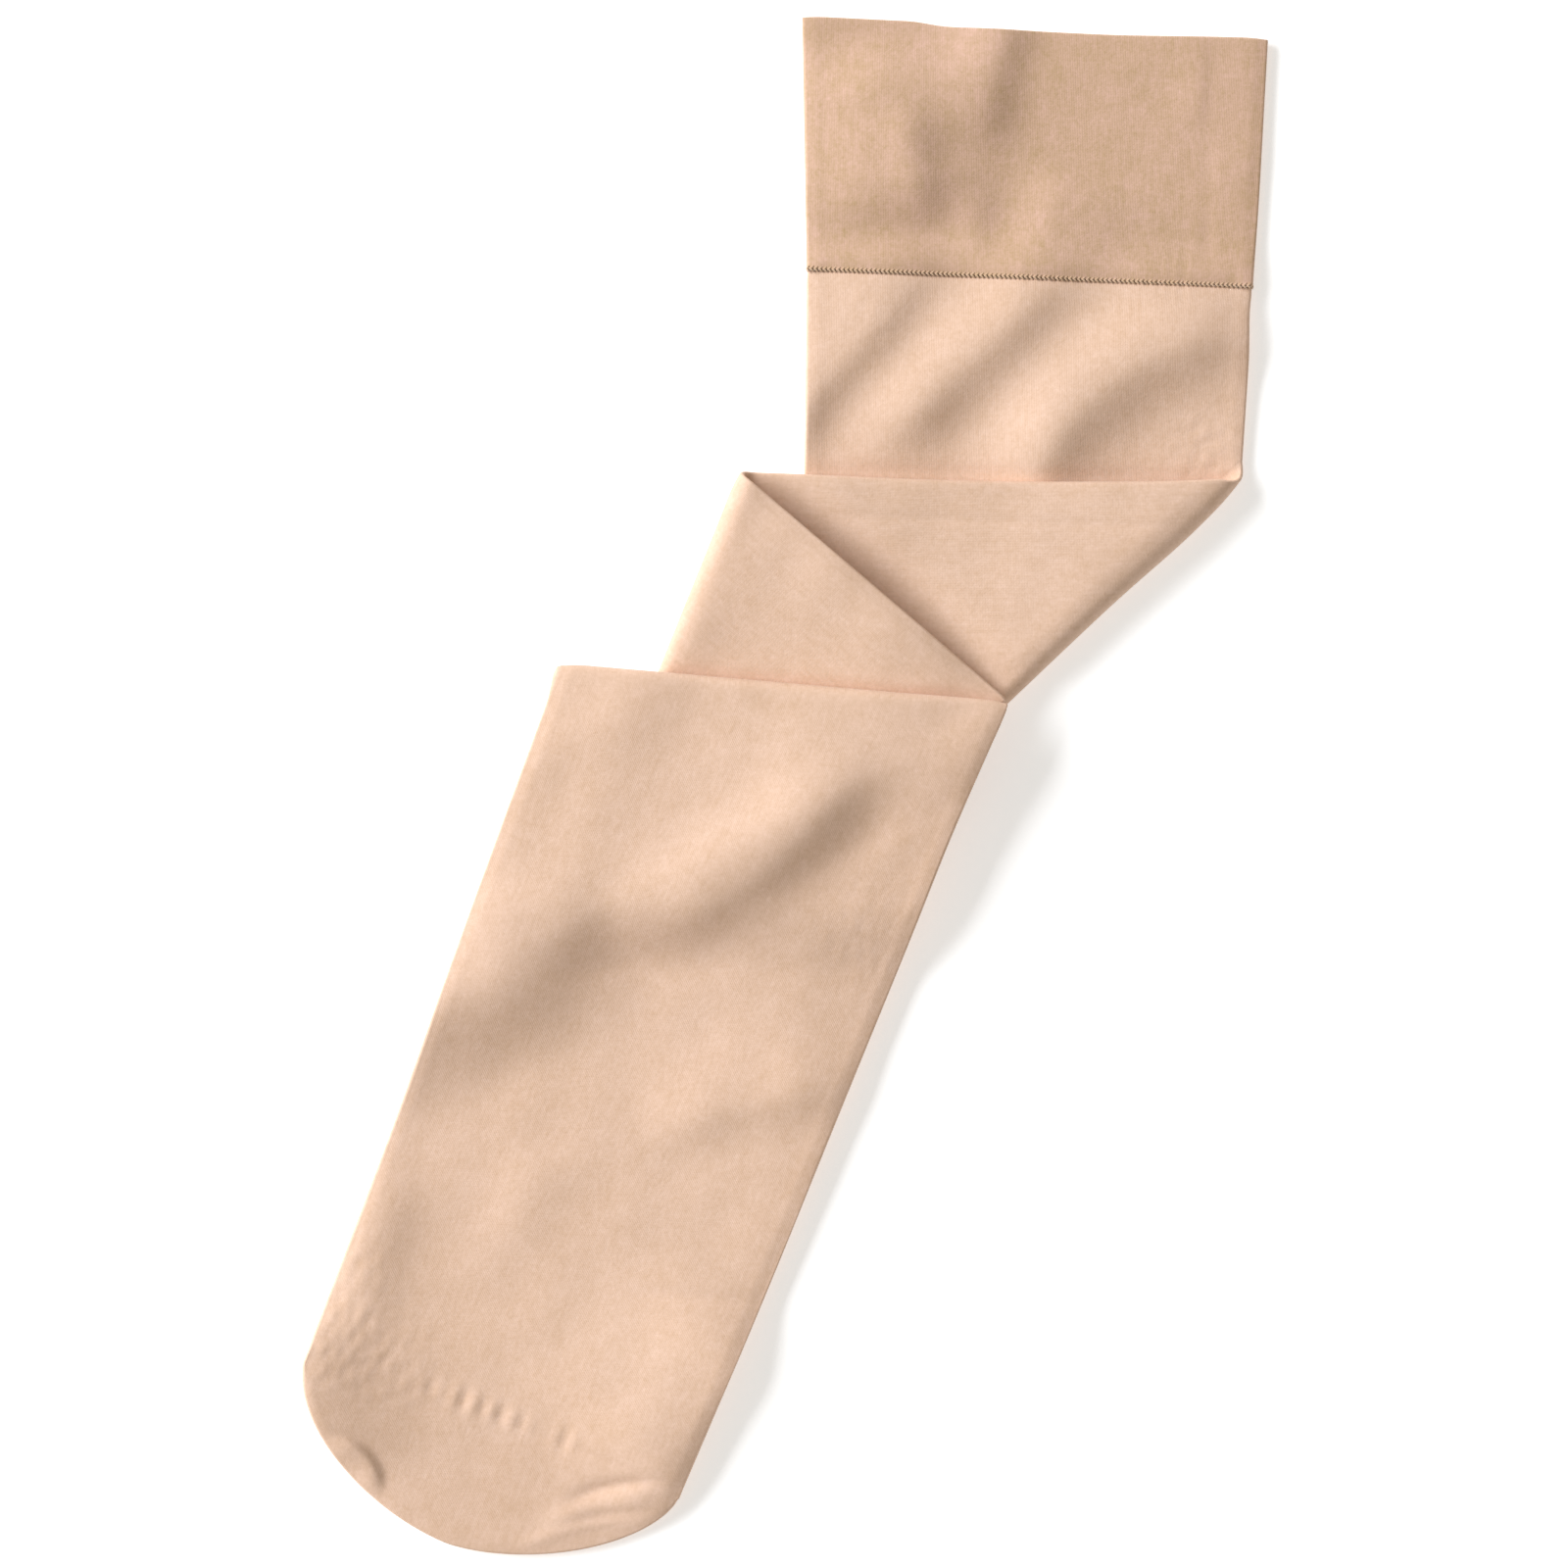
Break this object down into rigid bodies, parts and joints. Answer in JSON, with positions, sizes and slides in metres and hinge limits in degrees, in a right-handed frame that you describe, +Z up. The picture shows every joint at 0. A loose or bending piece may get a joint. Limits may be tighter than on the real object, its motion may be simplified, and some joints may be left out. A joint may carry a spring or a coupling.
{
  "type": "prosthetic sock",
  "caption": "Long knitted tube sock for a residual limb, with a doubled welt at the open mouth and a closed rounded toe, lying flat and folded over on itself.",
  "frame": {"origin": "under the middle of the laid-out sock's bounding box, on the surface it lies on", "axes": "+Z up, away from that surface; +Y towards the mouth; +X to the right with the mouth at the top"},
  "size_m": [0.2587, 0.4123, 0.0132],
  "materials": {
    "leg_knit": "matte",
    "welt_knit": "matte"
  },
  "bodies": {
    "root": {"welt": "welt_knit", "leg": "leg_knit", "toe": "leg_knit"}
  },
  "joints": []
}
